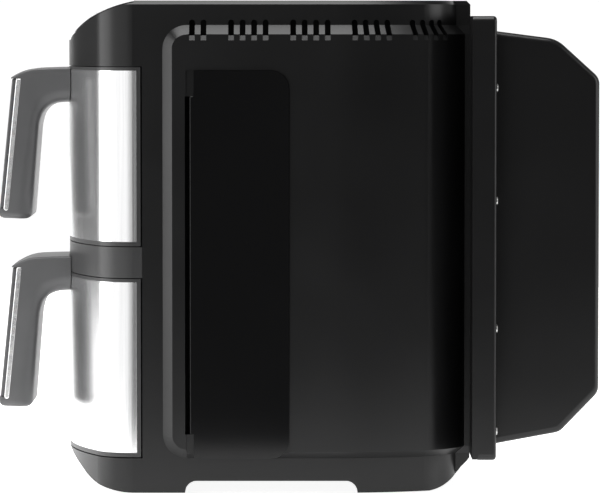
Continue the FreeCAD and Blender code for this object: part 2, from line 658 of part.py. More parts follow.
def make_front_frame():
    """The flat frame behind the drawer fronts, with an opening for each basket."""
    body = new_body("front_frame")
    pad(body, "XZ", "frame_front", "frame_back",
        rectangle("-frame_half", "frame_half", "base_top + 0.1", "shell_top - 0.1"))
    for zone in ("lower_zone", "upper_zone"):
        pocket(body, "XZ", "frame_front - 1", "frame_back + 1", rectangle(
            "-cavity_half + sheet", "cavity_half - sheet", zone + " + cavity_low + sheet",
            zone + " + cavity_high - sheet"))
        pocket(body, "XZ", "frame_front - 1", "frame_back + 1",
               ("circle", "switch_x", zone + " + switch_z", "plunger_radius + 0.4"))
    return node(body)


def make_middle_band():
    """The bowed trim between the drawers, clipped to the front frame."""
    body = new_body("middle_band")
    pad(body, "XY", "band_low", "band_high",
        front_run("0") + [("half_width", "pillar_front - 0.1"), ("-half_width", "pillar_front - 0.1")])
    room = [("half_width - wall", "pillar_front + 1"), ("-half_width + wall", "pillar_front + 1")]
    pocket(body, "XY", "band_low + wall", "band_high - wall", front_run("wall") + room)
    pocket(body, "XY", "band_low - 1", "band_high + 1",
           rectangle("-frame_half - 0.1", "frame_half + 0.1", "frame_front", "pillar_front + 1"))
    return node(body)


# ---- one drawer, for a zone that starts at a given height ----

def screw_holes(top, radius):
    """The two handle screws' places on the front."""
    return [("circle", side + "screw_reach", top + " - screw_drop", radius) for side in ("-", "")]


def make_drawer_front(name, zone, grip_top):
    """The bowed front moulding, open at the back, with a shallow seat for the steel."""
    body = new_body(name + "_drawer_front")
    top = zone + " + front_height"
    sides = [("half_width", "drawer_back_y"), ("-half_width", "drawer_back_y")]
    pad(body, "XY", zone, top, front_run("0") + sides)
    skin_in = [("half_width - skin_thick", "skin_back_y"), ("half_width + 1", "skin_back_y"),
               ("half_width + 1", "-front_tip - 5"), ("-half_width - 1", "-front_tip - 5"),
               ("-half_width - 1", "skin_back_y"), ("-half_width + skin_thick", "skin_back_y")]
    pocket(body, "XY", zone + " + skin_low", zone + " + skin_high", front_run("skin_thick") + skin_in)
    room = [("half_width - front_wall", "drawer_back_y + 1"),
            ("-half_width + front_wall", "drawer_back_y + 1")]
    pocket(body, "XY", zone + " + front_wall", top + " - front_wall", front_run("front_wall") + room)
    pocket(body, "XZ", "-front_tip - 1", "-front_tip + front_wall + 2",
           *screw_holes(grip_top, "screw_radius + 0.2"))
    return node(body)


def make_skin(name, zone, grip_top):
    """The stainless sheet that wraps round the drawer front."""
    body = new_body(name + "_steel_skin")
    outer = [("-half_width", "skin_back_y")] + front_run("0") + [("half_width", "skin_back_y")]
    inner = [("-half_width + skin_thick", "skin_back_y")] + front_run("skin_thick") \
        + [("half_width - skin_thick", "skin_back_y")]
    pad(body, "XY", zone + " + skin_low", zone + " + skin_high", outer + backwards(inner))
    pocket(body, "XZ", "-front_tip - 1", "-front_tip + 3", *screw_holes(grip_top, "boss_radius + 0.1"))
    return node(body)


def make_drawer_back(name, zone):
    """The plate that closes the drawer front and carries the basket."""
    body = new_body(name + "_drawer_back")
    inset = "front_wall + 0.1"
    pad(body, "XZ", "drawer_back_y - 3.4", "drawer_back_y - 0.6", rectangle(
        "-half_width + " + inset, "half_width - (%s)" % inset, "%s + %s" % (zone, inset),
        "%s + front_height - (%s)" % (zone, inset)))
    return node(body)


def make_basket(name, zone):
    """The non-stick basket, with a rim that rides on the guide rails."""
    body = new_body(name + "_basket")
    low, high = zone + " + basket_low", zone + " + basket_high"
    front = "drawer_back_y - 0.6"

    def plan(inset, radius):
        return rounded_rectangle("-basket_half + (%s)" % inset, "basket_half - (%s)" % inset,
                                 front + " + (%s)" % inset, "basket_back - (%s)" % inset, radius)

    pad(body, "XY", low, high, plan("0", "basket_corner"))
    pad(body, "XY", high, high + " + basket_wall", rounded_rectangle(
        "-basket_half - rim_out", "basket_half + rim_out", front, "basket_back + 1", "basket_corner"))
    pocket(body, "XY", low + " + basket_wall", high + " + basket_wall + 1",
           plan("basket_wall", "basket_corner - basket_wall"))
    return node(body)


def make_crisper(name, zone):
    """The perforated plate that lifts the food off the basket floor."""
    body = new_body(name + "_crisper_plate")
    low = zone + " + plate_low"
    high = low + " + plate_thick"
    pad(body, "XY", low, high, rounded_rectangle(
        "-plate_half", "plate_half", "plate_front", "plate_back", "plate_corner"))
    for line in range(5):
        x, y = "-plate_half + slot_margin", "plate_front + 24 + %d * slot_pitch" % line
        slot = pocket(body, "XY", low + " - 1", high + " + 1", rounded_rectangle(
            x + " - slot_wide / 2", x + " + slot_wide / 2", y + " - slot_long / 2",
            y + " + slot_long / 2", "slot_wide / 2 - 0.1"))
        repeat(body, slot, "H_Axis", "(plate_half - slot_margin) / 6", 13)
    return node(body)


def make_bumpers(name, zone):
    """Four silicone bumpers that clip on the plate's edges and stand on the basket floor."""
    body = new_body(name + "_plate_bumpers")
    half = "bumper_long / 2"
    for side in ("", "-"):
        for middle in ("plate_front + 34", "plate_back - 34"):
            inner, outer = side + "(plate_half - 4)", side + "(plate_half + bumper_out)"
            low, high = (inner, outer) if not side else (outer, inner)
            pad(body, "XY", zone + " + bumper_low", zone + " + plate_low", rectangle(
                low, high, "%s - %s" % (middle, half), "%s + %s" % (middle, half)))
            edge, out = side + "plate_half", side + "(plate_half + bumper_out)"
            low, high = (edge, out) if not side else (out, edge)
            pad(body, "XY", zone + " + plate_low", zone + " + bumper_high", rectangle(
                low, high, "%s - %s" % (middle, half), "%s + %s" % (middle, half)))
    return node(body)


def grip_point(reach, drop, top, *bend):
    return ("-front_tip - (%s)" % reach, "%s - (%s)" % (top, drop)) + bend


def front_reach(drop):
    """How far the grip's front line reaches at a given drop."""
    return "brow_reach + (toe_reach - brow_reach) * ((%s) - brow_drop) / (toe_drop - brow_drop)" % drop


def make_grip(name, top):
    """The grip: a root on the drawer front and a hanging bar, with a seat for the trim and the cap."""
    body = new_body(name + "_grip_blank")

    def point(reach, drop, *bend):
        return grip_point(reach, drop, top, *bend)

    pad(body, "YZ", "-grip_half", "grip_half", [
        point("-8", "0"), point("0", "0"), point("crown_reach", "crown_drop"),
        point("brow_reach", "brow_drop", "brow_radius", 1), point("toe_reach", "toe_drop"),
        point("sole_reach", "grip_drop - 0.8", "toe_radius", 1), point("heel_reach", "grip_drop"),
        point("heel_reach - heel_radius", "grip_drop - heel_rise", "heel_radius", 1),
        point("palm_reach", "palm_drop"),
        point("palm_reach - 15", "root_height + 0.6", "palm_radius", -1), point("-8", "root_height")])
    seat = new_body(name + "_grip_seat")
    depth = "(cap_thick + trim_thick)"
    pad(seat, "YZ", "-grip_half - 1", "grip_half + 1", [
        point(front_reach("cap_top_drop") + " + 4", "cap_top_drop"),
        point(front_reach("cap_low_drop") + " + 4", "cap_low_drop"),
        point(front_reach("cap_low_drop") + " - " + depth, "cap_low_drop"),
        point(front_reach("cap_top_drop") + " - " + depth, "cap_top_drop")])
    seated = combine("Cut", name + "_grip_seated", body, seat)
    wall = new_body(name + "_grip_back")
    pad(wall, "XY", top + " - grip_drop - 10", top + " + 10",
        front_run("-grip_gap") + [("half_width", "-100"), ("-half_width", "-100")])
    shaped = combine("Cut", name + "_grip_shaped", seated, wall)
    bosses = []
    threads = []
    for side, word in (("-", "left"), ("", "right")):
        x, z = side + "screw_reach", top + " - screw_drop"
        bosses.append(primitive("Cylinder", name + "_grip_boss_" + word, (x, "-front_tip - 6", z), ALONG_Y,
                                Radius="boss_radius", Height="6 + skin_thick + 0.2"))
        threads.append(primitive("Cylinder", name + "_grip_thread_" + word, (x, "-front_tip - 5", z), ALONG_Y,
                                 Radius="screw_radius", Height="5 + front_wall"))
    solid = fuse(name + "_grip_solid", [shaped] + bosses)
    return node(combine("Cut", name + "_handle", solid, group(name + "_grip_threads", threads)))


def make_cap(name, top):
    """The inlaid strip along the front of the grip."""
    body = new_body(name + "_handle_cap")

    def point(reach, drop, *bend):
        return grip_point(reach, drop, top, *bend)

    pad(body, "YZ", "-grip_half + 1", "grip_half - 1", [
        point(front_reach("cap_top_drop") + " - cap_lip", "cap_top_drop"),
        point(front_reach("cap_low_drop") + " - cap_lip", "cap_low_drop"),
        point(front_reach("cap_low_drop") + " - cap_thick", "cap_low_drop"),
        point(front_reach("cap_top_drop") + " - cap_thick", "cap_top_drop")])
    return node(body)


def make_trim(name, top):
    """The bright strip between the cap and the grip."""
    body = new_body(name + "_handle_trim")

    def point(reach, drop, *bend):
        return grip_point(reach, drop, top, *bend)

    pad(body, "YZ", "-grip_half - trim_side", "grip_half + trim_side", [
        point(front_reach("cap_top_drop") + " - cap_thick", "cap_top_drop"),
        point(front_reach("cap_low_drop - trim_end") + " - cap_thick", "cap_low_drop - trim_end"),
        point(front_reach("cap_low_drop - trim_end") + " - cap_thick - trim_thick", "cap_low_drop - trim_end",
              "trim_thick / 2 + 0.02", -1),
        point(front_reach("cap_top_drop") + " - cap_thick - trim_thick", "cap_top_drop")])
    return node(body)


def make_handle_screws(name, top):
    """Two screws from inside the drawer front into the grip."""
    screws = []
    for side, word in (("-", "left"), ("", "right")):
        tag = name + "_handle_screw_" + word
        x, z = side + "screw_reach", top + " - screw_drop"
        shank = primitive("Cylinder", tag + "_shank", (x, "-front_tip - 5", z), ALONG_Y,
                          Radius="screw_radius", Height="5 + front_wall + 1")
        head = primitive("Cylinder", tag + "_head", (x, "-front_tip + front_wall + 0.7", z), ALONG_Y,
                         Radius="boss_radius", Height="2.4")
        screws.append(combine("Fuse", tag, shank, head))
    return node(group(name + "_handle_screws", screws))


# ---- one cooking zone: cavity, heater, fan and its motor ----

def make_cavity(name, zone):
    """The sheet-metal cavity, open at the front, with a shaft hole in its back wall."""
    body = new_body(name + "_cavity")
    low, high = zone + " + cavity_low", zone + " + cavity_high"
    middle = zone + " + fan_height"
    pad(body, "XZ", "frame_back", "cavity_back", rectangle("-cavity_half", "cavity_half", low, high))
    pocket(body, "XZ", "frame_back - 1", "cavity_back - sheet", rectangle(
        "-cavity_half + sheet", "cavity_half - sheet", low + " + sheet", high + " - sheet"))
    holes = [("circle", "0", middle, "shaft_radius + 2")]
    for side in ("-", ""):
        holes.append(("circle", side + "ring_end_x", zone + " + ring_end_z", "tube_radius + 1.5"))
    pocket(body, "XZ", "cavity_back - sheet - 1", "cavity_back + 1", *holes)
    pocket(body, "XY", high + " - sheet - 1", high + " + 1", ("circle", "probe_x", "probe_y", "probe_radius"))
    return node(body)


def make_rails(name, zone):
    """The two guides that the basket's rim rides on."""
    body = new_body(name + "_guide_rails")
    high = zone + " + basket_high - 0.4"
    for side in (1, -1):
        outline = [("cavity_half - sheet", high + " - 6"), ("cavity_half - sheet", high),
                   ("basket_half + 1.2", high), ("basket_half + 1.2", high + " - 2")]
        pad(body, "XZ", "frame_back", "plate_back", outline if side > 0 else flipped(outline))
    return node(body)


def make_guard(name, zone):
    """The stamped cover in front of the fan: intake slots in the middle and outlet slots at both sides."""
    body = new_body(name + "_air_guard")
    middle = zone + " + fan_height"
    pad(body, "XZ", "guard_y", "guard_y + sheet", rectangle(
        "-cavity_half + sheet", "cavity_half - sheet", zone + " + cavity_low + sheet",
        zone + " + cavity_high - sheet"))
    front, back = "guard_y - 1", "guard_y + sheet + 1"
    intake = pocket(body, "XZ", front, back, rounded_rectangle(
        "-36", "-31.5", middle + " - 30", middle + " + 30", "2.1"))
    repeat(body, intake, "H_Axis", "9", 8)
    for low, high in (("-101", "-74"), ("74", "101")):
        outlet = pocket(body, "XZ", front, back, rounded_rectangle(
            low, high, middle + " - 43", middle + " - 37", "2.9"))
        repeat(body, outlet, "V_Axis", "20", 5)
    return node(body)


def make_element(name, zone):
    """The sheathed heating ring round the fan, with its two terminals through the back wall."""
    body = new_body(name + "_heating_element")
    middle = zone + " + fan_height"
    for side in ("-", ""):
        pad(body, "XZ", "ring_y - 1", "terminal_back",
            ("circle", side + "ring_end_x", zone + " + ring_end_z", "tube_radius"))
    centre = vector(0, amount_of("ring_y"), amount_of(middle))
    ring = Part.makeTorus(amount_of("ring_radius"), amount_of("tube_radius"), centre, vector(0, 1, 0))
    loop = doc.addObject("Part::Feature", name + "_ring")
    loop.Label = name + "_ring"
    loop.Shape = ring
    body.Label = name + "_terminals"
    return node(combine("Fuse", name + "_heating_element", loop, body))


def make_fan(name, zone):
    """The convection fan: a back disc, a hub and radial blades."""
    body = new_body(name + "_convection_fan")
    middle = zone + " + fan_height"
    back = "fan_front + fan_depth"
    pad(body, "XZ", back + " - blade_thick", back, ("circle", "0", middle, "fan_radius"))
    pad(body, "XZ", "fan_front", back, ("circle", "0", middle, "hub_radius"))
    for blade in range(10):
        turn = "(%d * 36 + 9)" % blade
        corners = []
        for reach, side in (("hub_radius - 1", "-"), ("fan_radius - 1", "-"),
                            ("fan_radius - 1", "+"), ("hub_radius - 1", "+")):
            corners.append((
                "(%s) * cos%s %s blade_thick / 2 * sin%s" % (reach, turn, side, turn),
                "%s + (%s) * sin%s %s blade_thick / 2 * cos%s" % (
                    middle, reach, turn, "-" if side == "+" else "+", turn)))
        corners.reverse()
        pad(body, "XZ", "fan_front + 1", back, corners)
    pocket(body, "XZ", "fan_front - 1", back + " + 1", ("circle", "0", middle, "shaft_radius"))
    return node(body)


def make_nut(name, zone):
    """The hexagon nut that holds the fan on its shaft."""
    body = new_body(name + "_fan_nut")
    middle = zone + " + fan_height"
    corners = [("nut_reach * cos(%d * 60)" % k, middle + " + nut_reach * sin(%d * 60)" % k) for k in range(6)]
    pad(body, "XZ", "shaft_front - 0.5", "fan_front", corners)
    pocket(body, "XZ", "shaft_front", "fan_front + 1", ("circle", "0", middle, "shaft_radius"))
    return node(body)


def make_shaft(name, zone):
    """The motor shaft with its rotor."""
    body = new_body(name + "_motor_shaft")
    middle = zone + " + fan_height"
    pad(body, "XZ", "shaft_front", "shaft_back", ("circle", "0", middle, "shaft_radius"))
    front = "bulkhead_y + sheet + motor_wall"
    pad(body, "XZ", front + " + 1", "motor_back - motor_wall - 1", ("circle", "0", middle, "rotor_radius"))
    return node(body)


def make_cooling_fan(name, zone):
    """The cooling fan behind the cavity, on the same shaft."""
    body = new_body(name + "_cooling_fan")
    middle = zone + " + fan_height"
    pad(body, "XZ", "cool_front", "cool_front + blade_thick", ("circle", "0", middle, "cool_radius"))
    pad(body, "XZ", "cool_front", "cool_back", ("circle", "0", middle, "hub_radius"))
    for blade in range(8):
        turn = "(%d * 45)" % blade
        corners = []
        for reach, side in (("hub_radius - 1", "-"), ("cool_radius - 1", "-"),
                            ("cool_radius - 1", "+"), ("hub_radius - 1", "+")):
            corners.append((
                "(%s) * cos%s %s blade_thick / 2 * sin%s" % (reach, turn, side, turn),
                "%s + (%s) * sin%s %s blade_thick / 2 * cos%s" % (
                    middle, reach, turn, "-" if side == "+" else "+", turn)))
        corners.reverse()
        pad(body, "XZ", "cool_front", "cool_back - 1", corners)
    pocket(body, "XZ", "cool_front - 1", "cool_back + 1", ("circle", "0", middle, "shaft_radius"))
    return node(body)


def make_motor(name, zone):
    """The fan motor: a stator block with its end plates, hollow round the rotor."""
    middle = zone + " + fan_height"
    front = "bulkhead_y + sheet"
    block = new_body(name + "_motor_block")
    pad(block, "XZ", front, "motor_back", rounded_rectangle(
        "-motor_half", "motor_half", middle + " - motor_half", middle + " + motor_half", "6"))
    room = new_body(name + "_motor_room")
    pad(room, "XZ", front + " + motor_wall", "motor_back - motor_wall",
        ("circle", "0", middle, "rotor_radius + 0.4"))
    pad(room, "XZ", front + " - 1", "motor_back + 1", ("circle", "0", middle, "shaft_radius + running_gap"))
    return node(combine("Cut", name + "_motor", block, room))


def make_probe(name, zone):
    """The temperature sensor that hangs from the cavity's roof."""
    rod = primitive("Cylinder", name + "_probe_rod",
                    ("probe_x", "probe_y", zone + " + cavity_high - probe_long"),
                    Radius="probe_radius", Height="probe_long + probe_head")
    cap = primitive("Cylinder", name + "_probe_cap", ("probe_x", "probe_y", zone + " + cavity_high"),
                    Radius="probe_radius + 2", Height="probe_head")
    return node(combine("Fuse", name + "_temperature_sensor", rod, cap))


def make_switch(name, zone):
    """The switch that feels the closed drawer, with its plunger through the front frame."""
    box = primitive("Box", name + "_switch_box",
                    ("switch_x - switch_wide / 2", "frame_back", zone + " + switch_z - switch_tall / 2"),
                    Length="switch_wide", Width="switch_deep", Height="switch_tall")
    plunger = primitive("Cylinder", name + "_switch_plunger",
                        ("switch_x", "drawer_back_y + 0.3", zone + " + switch_z"), ALONG_Y,
                        Radius="plunger_radius", Height="frame_back - drawer_back_y")
    return node(combine("Fuse", name + "_drawer_switch", box, plunger))


# ---- back of the machine ----

def make_bulkhead():
    """The sheet-metal wall that both motors hang on."""
    body = new_body("rear_bulkhead")
    pad(body, "XZ", "bulkhead_y", "bulkhead_y + sheet", rectangle(
        "-bulkhead_half", "bulkhead_half", "base_top", "shell_top - 3"))
    pad(body, "XY", "base_top", "base_top + sheet", rectangle(
        "-bulkhead_half", "bulkhead_half", "bulkhead_y - 14", "bulkhead_y"))
    for zone in ("lower_zone", "upper_zone"):
        pocket(body, "XZ", "bulkhead_y - 1", "bulkhead_y + sheet + 1",
               ("circle", "0", zone + " + fan_height", "shaft_radius + 5"))
        holes = [("circle", side + "air_hole_x", "%s + fan_height %s air_hole_z" % (zone, sign),
                  "air_hole_radius") for side in ("-", "") for sign in "+-"]
        pocket(body, "XZ", "bulkhead_y - 1", "bulkhead_y + sheet + 1", *holes)
    return node(body)


def make_power_board():
    """The power board between the motors, with its transformer, relay, heat sink and capacitor."""
    body = new_body("power_board")
    back = "bulkhead_y + sheet + standoff"
    face = back + " + board_thick"
    low, high = "power_low", "power_low + power_tall"
    pad(body, "XZ", back, face, rectangle("-power_half", "power_half", low, high))
    blocks = {"transformer": ("-48", "-18", "10", "36", "20.4"), "relay": ("-8", "12", "12", "28", "16.4"),
              "heat_sink": ("-44", "-20", "54", "78", "10.4")}
    for left, right, down, up, tall in blocks.values():
        pad(body, "XZ", face, "%s + %s" % (face, tall), rectangle(
            left, right, "%s + %s" % (low, down), "%s + %s" % (low, up)))
    pad(body, "XZ", face, face + " + capacitor_tall", ("circle", "34", low + " + 22", "capacitor_radius"))
    for side in ("-", ""):
        for lift in ("4", "power_tall - 4"):
            pad(body, "XZ", "bulkhead_y + sheet", back,
                ("circle", side + "(power_half - 5)", "%s + %s" % (low, lift), "post_radius"))
    return node(body)


def hump_outline(inset):
    """The back cover's hump from the side, moved inwards."""
    face = "rear_reach - (%s)" % inset
    return [
        ("band_back - 6", "hump_low + (%s)" % inset),
        ("hump_heel_y - 0.4 * (%s)" % inset, "hump_heel_z + (%s)" % inset),
        (face, "hump_face_low + 0.35 * (%s)" % inset), (face, "hump_face_top - 0.35 * (%s)" % inset),
        ("hump_shoulder_y - 0.4 * (%s)" % inset, "hump_shoulder_z - (%s)" % inset),
        ("band_back - 6", "hump_top - (%s)" % inset)]


def make_rear_cover():
    """The back cover: a flat band against the flanges and a hollow hump over the motors."""
    def across(edge):
        return along(edge, vector(1, 0, 0)) and edge.BoundBox.YMin > amount_of("band_back") + 1

    def shoulder(edge):
        return across(edge) and edge.BoundBox.YMin < amount_of("hump_shoulder_y") + 1

    def hump_side(edge):
        box = edge.BoundBox
        beside = abs(abs(box.XMin) - amount_of("hump_half")) < 0.01 and box.XLength < 0.01
        return beside and box.YMax > amount_of("band_back") + 1

    def band_rim(edge):
        box = edge.BoundBox
        level = abs(box.YMin - amount_of("band_back")) < 0.01 and box.YLength < 0.01
        return level and abs(box.XMax) > amount_of("hump_half") + 1

    outer = new_body("rear_cover_outside")
    pad(outer, "XZ", "flange_back", "band_back", rounded_rectangle(
        "-band_half", "band_half", "band_low_z", "band_high_z", "band_corner"))
    pad(outer, "YZ", "-hump_half", "hump_half", hump_outline("0"))
    round_edges(outer, "shoulder_round", shoulder)
    round_edges(outer, "hump_round", across)
    round_edges(outer, "hump_side_round", hump_side)
    round_edges(outer, "band_round", band_rim)
    for zone in ("lower_zone", "upper_zone"):
        low = zone + " + fan_height - 12"
        louvre = pocket(outer, "XZ", "rear_reach - cover_wall - 2", "rear_reach + 1", rounded_rectangle(
            "-louvre_half", "louvre_half", low, low + " + louvre_tall", "louvre_tall / 2 - 0.1"))
        repeat(outer, louvre, "V_Axis", "louvre_pitch", 8)
    inner = new_body("rear_cover_room")
    wall = "cover_wall"
    pad(inner, "XZ", "flange_back - 1", "band_back - cover_wall", rounded_rectangle(
        "-band_half + " + wall, "band_half - " + wall, "band_low_z + " + wall, "band_high_z - " + wall,
        "band_corner - 1"))
    pad(inner, "YZ", "-hump_half + " + wall, "hump_half - " + wall, hump_outline(wall))
    pad(inner, "XZ", "rear_reach - cover_wall - 1", "rear_reach + 1",
        ("circle", "gland_x", "gland_z", "gland_radius"))
    return node(combine("Cut", "rear_cover", outer, inner))


def make_gland():
    """The cord gland in the lower corner of the back cover."""
    front = "rear_reach - cover_wall - collar_deep"
    sleeve = primitive("Cylinder", "gland_sleeve", ("gland_x", front, "gland_z"), ALONG_Y,
                       Radius="gland_radius", Height="cover_wall + collar_deep")
    collar = primitive("Cylinder", "gland_collar", ("gland_x", front, "gland_z"), ALONG_Y,
                       Radius="gland_radius + 2", Height="collar_deep")
    bore = primitive("Cylinder", "gland_bore", ("gland_x", front + " - 1", "gland_z"), ALONG_Y,
                     Radius="gland_bore_radius", Height="cover_wall + collar_deep + 2")
    return node(combine("Cut", "cord_gland", combine("Fuse", "gland_solid", sleeve, collar), bore))


def make_cover_screws():
    """The screws that hold the back cover's band to the side flanges."""
    screws = []
    for side in ("-", ""):
        for z in ("50", "130", "230", "318"):
            x = side + "(band_half - 9)"
            screws.append(primitive("Cylinder", "rear_screw", (x, "band_back", z), ALONG_Y,
                                    Radius="cover_screw_radius", Height="cover_screw_thick"))
    return node(group("rear_cover_screws", screws))


make_base()
make_feet()
make_left_side()
make_right_side()
make_door()
make_hinge_pin()
make_cover()
make_glass()
make_control_board()
make_front_frame()
make_middle_band()
make_bulkhead()
make_power_board()
make_rear_cover()
make_gland()
make_cover_screws()
for level, zone, top in (("lower", "lower_zone", "lower_grip_top"), ("upper", "upper_zone", "upper_grip_top")):
    make_drawer_front(level, zone, top)
    make_skin(level, zone, top)
    make_drawer_back(level, zone)
    make_basket(level, zone)
    make_crisper(level, zone)
    make_bumpers(level, zone)
    make_grip(level, top)
    make_cap(level, top)
    make_trim(level, top)
    make_handle_screws(level, top)
    make_cavity(level, zone)
    make_rails(level, zone)
    make_guard(level, zone)
    make_element(level, zone)
    make_fan(level, zone)
    make_nut(level, zone)
    make_shaft(level, zone)
    make_cooling_fan(level, zone)
    make_motor(level, zone)
    make_probe(level, zone)
    make_switch(level, zone)


# ---- checks and export ----

doc.recompute()
for thing in doc.Objects:
    if "Invalid" in thing.State or "Error" in thing.State:
        raise SystemExit("failed: %s %s" % (thing.Label, thing.State))
for thing in doc.findObjects("PartDesign::Pocket"):
    before = thing.BaseFeature.Shape.Volume
    if thing.Shape.Volume > before - 1e-6:
        raise SystemExit("cuts nothing: %s" % thing.Label)
for piece in NODES:
    if piece.Shape.isNull() or not piece.Shape.isValid() or not piece.Shape.Solids:
        raise SystemExit("bad shape: %s" % piece.Label)
    piece.Shape.exportStep("parts/%s.step" % piece.Label)
print(len(NODES), "nodes")
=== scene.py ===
import json
import math

import bmesh
import bpy
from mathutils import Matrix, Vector


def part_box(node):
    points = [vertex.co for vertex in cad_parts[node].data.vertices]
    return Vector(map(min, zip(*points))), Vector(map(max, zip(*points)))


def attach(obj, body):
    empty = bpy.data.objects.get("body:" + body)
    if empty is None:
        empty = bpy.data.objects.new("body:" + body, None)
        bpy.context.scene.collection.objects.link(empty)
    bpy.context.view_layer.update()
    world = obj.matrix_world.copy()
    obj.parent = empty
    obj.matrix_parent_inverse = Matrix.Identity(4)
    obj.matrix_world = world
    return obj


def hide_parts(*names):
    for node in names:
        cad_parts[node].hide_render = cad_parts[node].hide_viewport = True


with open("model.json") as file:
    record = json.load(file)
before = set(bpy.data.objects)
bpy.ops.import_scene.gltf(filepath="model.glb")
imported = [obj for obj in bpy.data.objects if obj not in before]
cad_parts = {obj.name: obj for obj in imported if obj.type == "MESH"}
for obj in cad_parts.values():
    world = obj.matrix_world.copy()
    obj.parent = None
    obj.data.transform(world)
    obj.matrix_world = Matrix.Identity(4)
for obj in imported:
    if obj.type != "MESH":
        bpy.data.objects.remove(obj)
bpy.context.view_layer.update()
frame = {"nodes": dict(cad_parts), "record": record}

# ---- sizes in metres, the CAD row's own frame: +Z up, drawers and grips face -Y ----

MM = 0.001
CAMERA_PLACE = (3.378, 0.004, 0.3653)
CAMERA_TILT = 3.015  # degrees below level
FRONT_TIP = -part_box("middle_band")[0].y
GRIP_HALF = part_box("upper_handle")[1].x
FRONT_ROUND = 0.0022
PALM_ROUND = 0.0125
SOLE_ROUND = 5.6  # in millimetres, like the grip's reaches and drops below
BROW_REACH, BROW_DROP = 45.2, 7.7  # where the straight front line of the bar starts
BAR_ADVANCE, BAR_FALL = 10.8, 108.6  # how far that line runs forward and down
FRONT_CURVE = 0.25
CAP_THICK = 0.0044
TRIM_THICK = 0.0039
STRIP_TOP, STRIP_END = 0.0090, 0.1130  # the trim's and the cap's ends below the grip's top
SEAT_SLACK = 0.0001
RING_STEPS = 8
SCREW_RADIUS = 0.0034
SCREW_HEIGHTS = (0.050, 0.130, 0.230, 0.318)
SCREW_PROFILE = ((1.0, 0.0), (1.0, 0.0004), (0.9, 0.0010), (0.62, 0.0015), (0.3, 0.0016))
RECESS_DEPTH = 0.0009
GLASS_RADIUS = 0.1
GLASS_CREST = 0.012  # how far behind the glass its curve would be level
MARK_LIFT = 0.00025
KEY_PITCH, KEY_RUN = 0.022, 0.36
KEY_OUTER, KEY_INNER = 0.0052, 0.0046
DIGIT_RUN, DIGIT_STEP, DIGIT_HALF, DIGIT_TALL = 0.62, 0.009, 0.0026, 0.10
SEGMENT_THIN, SEGMENT_TALL, SEGMENT_GAP = 0.00055, 0.012, 0.02
LEVELS = ("lower", "upper")
MIDDLE = (0.0, 0.0, 0.2)


# ---- camera, light and floor ----

def make_camera():
    """Side view from a long lens, level with the upper drawer and tilted down a little."""
    data = bpy.data.cameras.new("camera")
    data.sensor_width = 36.0
    data.lens = 250.0
    data.clip_end = 50.0
    camera = bpy.data.objects.new("camera", data)
    camera.location = CAMERA_PLACE
    camera.rotation_euler = (math.radians(90 - CAMERA_TILT), 0.0, math.radians(90))
    bpy.context.scene.collection.objects.link(camera)
    bpy.context.scene.camera = camera


def area_light(name, place, target, size, power, size_y=None):
    data = bpy.data.lights.new(name, "AREA")
    data.shape = "RECTANGLE"
    data.size = size
    data.size_y = size_y or size
    data.energy = power
    light = bpy.data.objects.new(name, data)
    light.location = place
    light.rotation_euler = (Vector(target) - Vector(place)).to_track_quat("-Z", "Y").to_euler()
    bpy.context.scene.collection.objects.link(light)
    return light


def softbox(name, heading, distance, height, width, tall, radiance):
    """A soft light at a compass heading (0 is -X, 90 is -Y, 180 is +X) that faces the machine."""
    angle = math.radians(heading)
    place = (-distance * math.cos(angle), -distance * math.sin(angle), height)
    light = area_light(name, place, MIDDLE, width, radiance * math.pi * width * tall, tall)
    light.visible_camera = False
    return light


def make_lights():
    """Strong light from the drawers' side round to the camera, and a dark gap beside the backdrop."""
    softbox("front_softbox", 95, 1.7, 0.6, 1.4, 1.6, 3.2)
    softbox("corner_softbox", 143, 2.2, 0.5, 2.1, 1.6, 1.1)
    softbox("backdrop", -12, 2.4, 0.6, 3.4, 2.2, 1.0)
    softbox("back_softbox", 252, 1.9, 0.8, 1.0, 1.6, 2.6)
    top = area_light("top_softbox", (0.2, -0.3, 1.9), MIDDLE, 1.5, 38)
    top.visible_camera = False
    world = bpy.data.worlds.new("studio")
    bpy.context.scene.world = world
    world.use_nodes = True
    tree = world.node_tree
    surround = tree.nodes["Background"]
    surround.inputs["Color"].default_value = (1.0, 1.0, 1.0, 1.0)
    surround.inputs["Strength"].default_value = 0.14
    white = tree.nodes.new("ShaderNodeBackground")
    white.inputs["Color"].default_value = (1.0, 1.0, 1.0, 1.0)
    white.inputs["Strength"].default_value = 1.05
    rays = tree.nodes.new("ShaderNodeLightPath")
    mix = tree.nodes.new("ShaderNodeMixShader")
    tree.links.new(rays.outputs["Is Camera Ray"], mix.inputs[0])
    tree.links.new(surround.outputs[0], mix.inputs[1])
    tree.links.new(white.outputs[0], mix.inputs[2])
    tree.links.new(mix.outputs[0], tree.nodes["World Output"].inputs["Surface"])
    bpy.context.scene.view_settings.view_transform = "Standard"


def make_floor():
    """A pale light table under and behind the machine; it ends a little in front of the door's side."""
    mesh = bpy.data.meshes.new("floor")
    mesh.from_pydata([(-8, -1.8, 0), (0.5, -1.8, 0), (0.5, 8, 0), (-8, 8, 0)], [], [(0, 1, 2, 3)])
    floor = bpy.data.objects.new("floor", mesh)
    bpy.context.scene.collection.objects.link(floor)
    pale = plain_material("pale_floor", (0.9, 0.9, 0.9), 0.6)
    glow = pale.node_tree.nodes["Principled BSDF"]
    glow.inputs["Emission Color"].default_value = (1.0, 1.0, 1.0, 1.0)
    glow.inputs["Emission Strength"].default_value = 0.9
    floor.data.materials.append(pale)


# ---- materials ----

def new_material(name):
    material = bpy.data.materials.new(name)
    material.use_nodes = True
    return material, material.node_tree, material.node_tree.nodes["Principled BSDF"]


def link(tree, source, output, target, socket):
    tree.links.new(source.outputs[output], target.inputs[socket])


